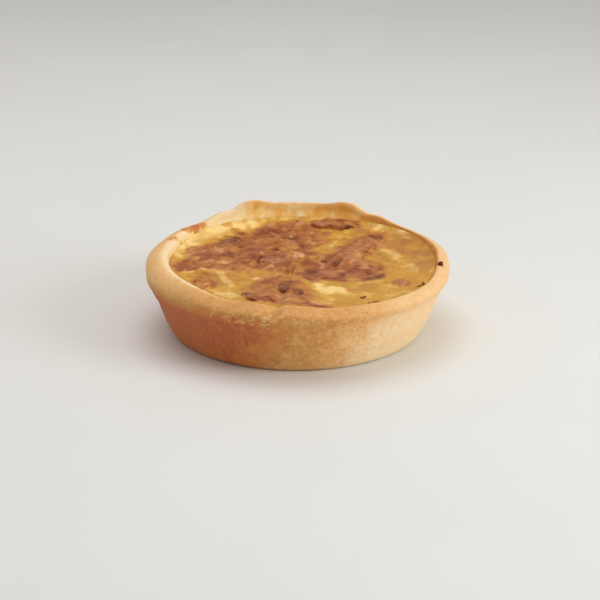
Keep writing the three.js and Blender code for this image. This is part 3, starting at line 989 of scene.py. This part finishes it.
def skin_shades(finish, settings):
    """The skin's colour from the brown, rosy and painted sheen fields, with a little grain. The brown field
    holds painted shade and highlight, the sheen field painted peach highlights.
    """
    grain = finish.between(finish.grain(1.2, 4), 0.3, 0.7, -0.025, 0.025)
    brown = finish.maths("ADD", finish.field("brown"), grain)
    stops = [
        (0.0, settings.cheese[:]),
        (0.26, settings.custard[:]),
        (0.46, settings.golden[:]),
        (0.68, settings.toasted[:]),
        (0.86, settings.deep[:]),
        (1.0, settings.scorched[:]),
    ]
    shades = finish.ramp(brown, stops)
    shades = finish.mix(finish.maths("MULTIPLY", finish.field("rosy"), 0.5), shades, settings.rosy[:])
    return finish.mix(finish.maths("MULTIPLY", finish.field("painted_sheen"), 0.85), shades, settings.painted_sheen[:])


def filling_finish(settings):
    """The skin's colours, a little greasy in places, over soft custard."""
    finish = Finish("toasted_custard")
    rough = finish.between(finish.grain(2.5, 3), 0.35, 0.65, 0.36, 0.55)
    finish.set(Base_Color=skin_shades(finish, settings), Roughness=rough, Specular_IOR_Level=0.2)
    finish.set(Subsurface_Weight=0.12, Subsurface_Scale=0.0015)
    finish.feed(finish.shader.inputs["Subsurface Radius"], (1.0, 0.6, 0.2))
    finish.bump(finish.grain(1.0, 5, 0.6), 0.12, 0.5)
    return finish.material


class QUICHE_OT_filling(bpy.types.Operator):
    """Makes the custard and cheese filling with its toasted, folded skin, and the dark flakes on it"""

    bl_idname = "quiche.filling"
    bl_label = "Filling"

    def execute(self, context):
        settings = context.scene.quiche_filling
        unit_x, unit_y = disk_grid(FILLING_GRID)
        angle = np.arctan2(unit_y, unit_x)
        edge_radius = np.interp(angle, EDGE_ANGLES, EDGE_REACH)
        x, y = unit_x * edge_radius, unit_y * edge_radius
        height, fields = custard_skin(x, y, settings)
        top = np.stack([x, y, height], axis=-1).reshape(-1, 3)
        border = border_loop(FILLING_GRID)
        border_angle = angle.ravel()[border]
        direction = np.stack([np.cos(border_angle), np.sin(border_angle), np.zeros(len(border))], axis=-1)
        sides = []
        for level in (LIP_EDGE, WAIST, FLOOR + BASE_EDGE, FLOOR + GAP):
            radius = inner_radius(np.full(len(border), level), border_angle)
            sides.append(direction * radius[:, None] + (0, 0, level))
        points = np.concatenate([top, *sides, [[0, 0, FLOOR + GAP]]])
        rings = [border] + [len(top) + k * len(border) + np.arange(len(border)) for k in range(len(sides))]
        faces = [top_faces(FILLING_GRID)]
        for upper, lower in zip(rings, rings[1:]):
            faces.append(np.stack([upper, lower, np.roll(lower, -1), np.roll(upper, -1)], axis=-1))
        faces.append(fan_faces(rings[-1], len(points) - 1)[:, ::-1])
        hidden = np.zeros(len(points) - len(top))
        fields = {name: np.append(values, hidden) for name, values in fields.items()}
        material = filling_finish(settings)
        piece = put_mesh("custard", points, faces, material, fields)
        stands_for(piece, "custard", "filling")
        flakes, flake_faces, tone = self.flakes(settings)
        fields = {"brown": tone, "rosy": 0 * tone, "painted_sheen": 0 * tone}
        piece = put_mesh("browned_flakes", flakes, (flake_faces,), material, fields)
        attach(piece, "root")
        return {"FINISHED"}

    def flakes(self, settings):
        """Thin flakes half sunk in the custard: the listed ones and tiny ones at random places."""
        draw = np.random.default_rng(95)
        listed = np.array(SPECKS, dtype=float)
        angle, reach = draw.uniform(-math.pi, math.pi, FLAKES), 44 * np.sqrt(draw.random(FLAKES))
        small = draw.uniform(0.5, 1.2, FLAKES)
        x, y = reach * np.cos(angle), reach * np.sin(angle)
        strewn = np.stack([x, y, small, small * 0.6, np.degrees(angle)], axis=-1)
        both = np.concatenate([listed, strewn])
        height = custard_skin(both[:, 0], both[:, 1], settings)[0]
        places = np.stack([both[:, 0], both[:, 1], height], axis=-1)
        sizes = np.stack([both[:, 2] / 2, both[:, 3] / 2, np.full(len(both), 0.22)], axis=-1)
        points, faces = lumps_at(places, sizes, np.radians(both[:, 4]), 96)
        tone = np.concatenate([np.full(len(listed), 0.9), draw.uniform(0.55, 0.85, FLAKES)])
        return points, faces, np.repeat(tone, len(points) // len(both))


class QuicheBaconSettings(bpy.types.PropertyGroup):
    fat: bpy.props.FloatVectorProperty(
        name="Fat",
        description="Colour of the fat streaks",
        subtype="COLOR",
        default=colour(206, 146, 92),
        min=0,
        max=1,
    )
    lean: bpy.props.FloatVectorProperty(
        name="Lean bacon",
        description="Colour of the lean meat",
        subtype="COLOR",
        default=colour(174, 106, 58),
        min=0,
        max=1,
    )
    dark: bpy.props.FloatVectorProperty(
        name="Well baked bacon",
        description="Colour of well baked meat",
        subtype="COLOR",
        default=colour(142, 76, 36),
        min=0,
        max=1,
    )
    crisp: bpy.props.FloatVectorProperty(
        name="Crisp edge",
        description="Colour of the crisp edges",
        subtype="COLOR",
        default=colour(98, 48, 18),
        min=0,
        max=1,
    )


def bacon_surface(strip, seed, skin):
    """A strip as a tube of flat sections along an arched, swaying line. Each section is a box with rounded
    corners, with ragged sides and torn ends, and its top is creased along the strip. It is set so deep that
    its top stands only a little clear of the skin drawn up round it."""
    x, y, length, width, turn, arch, proud, _ = strip
    share, turns = np.linspace(-1, 1, BACON_ROWS), np.linspace(0, TURN, BACON_COLUMNS, endpoint=False)
    along, around = np.meshgrid(share, turns, indexing="ij")
    over, beside = np.sin(around), np.cos(around)
    inside = np.stack([along * length / 2, beside * width / 2, over * 2 + seed * 20], axis=-1)
    cap = (1 - np.abs(along) ** 12) ** 0.5
    box = (np.abs(beside) ** 4 + np.abs(over) ** 4) ** (-1 / 4)
    ragged = 1 + 0.34 * noise(inside * (1, 0.2, 0.2), 3.6, 60) + 0.16 * noise(inside * (1, 0.5, 0.5), 1.5, 61)
    side = beside * box * cap * ragged * width / 2 * (1 - BACON_TAPER * along**4)
    side = side + BACON_SWAY * np.sin(along * 2.4 + x)
    creases = 0.6 * noise(inside * (0.5, 1, 1), 2.6, 62) + 0.22 * noise(inside, 1.4, 63)
    up = over * box * cap * BACON_THICK / 2 + creases * np.clip(over, 0, 1) * cap
    up = up + arch * (0.25 + 0.6 * np.cos(along * 2.2))
    end = along * length / 2 * (1.05 + 3 / length * noise(inside * (0, 1, 1), 1.6, 64))
    cos, sin = math.cos(math.radians(turn)), math.sin(math.radians(turn))
    x, y = x + end * cos - side * sin, y + end * sin + side * cos
    level = np.median(custard_skin(x[::6, ::6], y[::6, ::6], skin)[0])
    lift = level + 0.35 * proud - BACON_THICK / 2 - 0.5 * arch
    return np.stack([x, y, lift + up], axis=-1), along, around


def bacon_shade(points, along, around, strip, seed):
    """How dark each point of a strip is: streaks of lean and fat along it, its crisp far end, and a little
    more on its front side as painted shade under the strip's front edge."""
    turn = math.radians(strip[4])
    lengthwise = np.stack([along * strip[2] / 9, np.cos(around) * 2.2, np.sin(around) + seed * 20], axis=-1)
    streaks = 0.26 * noise(lengthwise, 1.0, 70) + 0.14 * noise(points, 1.8, 71)
    middle_y = strip[1] + along * strip[2] / 2 * math.sin(turn)
    front = (middle_y - points[..., 1]) / (strip[3] / 2)
    # The front term is painted shade on the strip's front side
    crisp = 0.65 * smoothstep(0.25, 0.9, along) + 0.1 * smoothstep(0.35, 0.95, front)
    return np.clip(strip[7] + streaks + crisp, 0, 1)


def bacon_film(points, along, strip, skin):
    """The skin's fields over a strip, with how much of a film it leaves there: all of it up to the skin's own
    height and none from half a mm above it, less at the strip's crisp far end and on well baked strips."""
    height, fields = custard_skin(points[..., 0], points[..., 1], skin)
    above = points[..., 2] - height + 0.35 * noise(points, 2.2, 72)
    kept = (1 - 0.6 * smoothstep(0.4, 0.8, along)) * min(1, 1.3 - strip[7])
    fields["film"] = (1 - smoothstep(0.0, 0.55, above)) * kept
    return fields


def bacon_finish(settings, skin):
    """Baked meat, under a film of the skin's own colour where the custard has run over it."""
    finish = Finish("baked_bacon")
    grain = finish.between(finish.grain(1.1, 4), 0.3, 0.7, -0.06, 0.06)
    shade = finish.maths("ADD", finish.field("shade"), grain)
    stops = [
        (0.1, settings.fat[:]),
        (0.4, settings.lean[:]),
        (0.72, settings.dark[:]),
        (1.0, settings.crisp[:]),
    ]
    shades = finish.mix(finish.field("film"), finish.ramp(shade, stops), skin_shades(finish, skin))
    finish.set(Base_Color=shades, Roughness=0.42, Specular_IOR_Level=0.3)
    finish.set(Subsurface_Weight=0.1, Subsurface_Scale=0.001)
    finish.bump(finish.grain(0.8, 4), 0.1, 0.6)
    return finish.material


class QUICHE_OT_bacon(bpy.types.Operator):
    """Makes the bacon strips that lie sunk in the filling"""

    bl_idname = "quiche.bacon"
    bl_label = "Bacon"

    def execute(self, context):
        skin = context.scene.quiche_filling
        material = bacon_finish(context.scene.quiche_bacon, skin)
        for number, strip in enumerate(BACON, start=1):
            points, along, around = bacon_surface(strip, number, skin)
            rows, columns = points.shape[:2]
            ends = [points[0].mean(axis=0), points[-1].mean(axis=0)]
            ring = np.arange(columns)
            faces = (
                grid_faces(rows, columns),
                fan_faces(ring, rows * columns)[:, ::-1],
                fan_faces(ring + (rows - 1) * columns, rows * columns + 1),
            )
            fields = bacon_film(points, along, strip, skin)
            fields["shade"] = bacon_shade(points, along, around, strip, number)
            fields = {name: np.append(values, values[(0, -1), 0]) for name, values in fields.items()}
            everything = np.concatenate([points.reshape(-1, 3), ends])
            piece = put_mesh(f"bacon_strip_{number}", everything, faces, material, fields)
            stands_for(piece, "bacon", f"bacon_{number}")
        return {"FINISHED"}


class QuicheStageSettings(bpy.types.PropertyGroup):
    floor_colour: bpy.props.FloatVectorProperty(
        name="Floor",
        description="Colour of the floor",
        subtype="COLOR",
        default=colour(228, 227, 224),
        min=0,
        max=1,
    )
    key_power: bpy.props.FloatProperty(
        name="Key light",
        description="Power of the soft light from the front right",
        unit="POWER",
        default=2.5,
        min=0,
    )
    fill_power: bpy.props.FloatProperty(
        name="Top light",
        description="Power of the large light overhead",
        unit="POWER",
        default=3.1,
        min=0,
    )
    distance: bpy.props.FloatProperty(
        name="Camera distance",
        description="Distance from the camera to the middle of the quiche",
        unit="LENGTH",
        default=0.6,
        min=0.1,
    )
    elevation: bpy.props.FloatProperty(
        name="Camera elevation",
        description="How far the camera looks down",
        subtype="ANGLE",
        default=math.radians(19.8),
    )
    focal_length: bpy.props.FloatProperty(
        name="Focal length",
        description="Lens length in mm on a 36 mm wide sensor",
        default=96.42,
        min=10,
    )


def soft_light(name, place, target, size, power, tint):
    """A square area light at a place, turned to face a target."""
    data = bpy.data.lights.new(name, "AREA")
    data.size = size
    data.energy = power
    data.color = tint
    light = bpy.data.objects.new(name, data)
    light.location = place
    aim = np.array(target) - np.array(place)
    across = math.hypot(aim[0], aim[1])
    light.rotation_euler = (math.atan2(across, -aim[2]), 0, math.atan2(aim[1], aim[0]) - math.pi / 2)
    bpy.context.scene.collection.objects.link(light)
    return light


class QUICHE_OT_stage(bpy.types.Operator):
    """Makes the pale floor, the soft studio lights and the camera"""

    bl_idname = "quiche.stage"
    bl_label = "Stage"

    def execute(self, context):
        settings = context.scene.quiche_stage
        scene = context.scene
        scene.view_settings.view_transform = "Standard"
        target = (0.0012, 0, 0.0099)
        camera = bpy.data.objects.new("camera", bpy.data.cameras.new("camera"))
        camera.data.sensor_width = 36
        camera.data.lens = settings.focal_length
        camera.data.clip_start = 0.01
        down = settings.elevation
        camera.location = (
            target[0],
            target[1] - settings.distance * math.cos(down),
            target[2] + settings.distance * math.sin(down),
        )
        camera.rotation_euler = (math.pi / 2 - down, 0, 0)
        scene.collection.objects.link(camera)
        scene.camera = camera

        world = bpy.data.worlds.new("studio")
        world.use_nodes = True
        world.node_tree.nodes["Background"].inputs["Color"].default_value = (*colour(240, 238, 234), 1)
        world.node_tree.nodes["Background"].inputs["Strength"].default_value = 0.54
        scene.world = world
        soft_light("key", (0.6, -0.25, 0.3), (0, 0, 0.02), 0.35, settings.key_power, (0.93, 0.98, 1.0))
        soft_light("overhead", (-0.1, 0.15, 0.8), (0, 0, 0.02), 0.7, settings.fill_power, (1.0, 0.985, 0.955))

        floor_finish = Finish("floor")
        tone = floor_finish.between(floor_finish.grain(60, 3), 0.3, 0.7)
        lighter = settings.floor_colour[:]
        darker = tuple(value * 0.985 for value in lighter)
        floor_finish.set(Base_Color=floor_finish.mix(tone, lighter, darker), Roughness=0.75)
        low = -0.05
        corners = np.array([[-2500, -2500, low], [2500, -2500, low], [2500, 4500, low], [-2500, 4500, low]])
        floor = put_mesh("floor", corners, (np.array([[0, 1, 2, 3]]),), floor_finish.material)
        return {"FINISHED"}


class QUICHE_PT_panel(bpy.types.Panel):
    bl_idname = "QUICHE_PT_panel"
    bl_label = "Quiche Lorraine"
    bl_space_type = "VIEW_3D"
    bl_region_type = "UI"
    bl_category = "Quiche"

    def draw(self, context):
        for operator, group in STEPS:
            box = self.layout.box()
            box.operator(operator)
            settings = getattr(context.scene, group)
            for setting in settings.bl_rna.properties.keys():
                if setting not in ("rna_type", "name"):
                    box.prop(settings, setting)


STEPS = (
    ("quiche.crust", "quiche_crust"),
    ("quiche.filling", "quiche_filling"),
    ("quiche.bacon", "quiche_bacon"),
    ("quiche.stage", "quiche_stage"),
)
GROUPS = {
    "quiche_crust": QuicheCrustSettings,
    "quiche_filling": QuicheFillingSettings,
    "quiche_bacon": QuicheBaconSettings,
    "quiche_stage": QuicheStageSettings,
}
CLASSES = (
    *GROUPS.values(),
    QUICHE_OT_crust,
    QUICHE_OT_filling,
    QUICHE_OT_bacon,
    QUICHE_OT_stage,
    QUICHE_PT_panel,
)


def register():
    for each in CLASSES:
        bpy.utils.register_class(each)
    for name, group in GROUPS.items():
        setattr(bpy.types.Scene, name, bpy.props.PointerProperty(type=group))


def unregister():
    for name in GROUPS:
        delattr(bpy.types.Scene, name)
    for each in reversed(CLASSES):
        bpy.utils.unregister_class(each)


def main():
    register()
    bpy.ops.quiche.crust()
    bpy.ops.quiche.filling()
    bpy.ops.quiche.bacon()
    bpy.ops.quiche.stage()


if __name__ == "__main__":
    main()
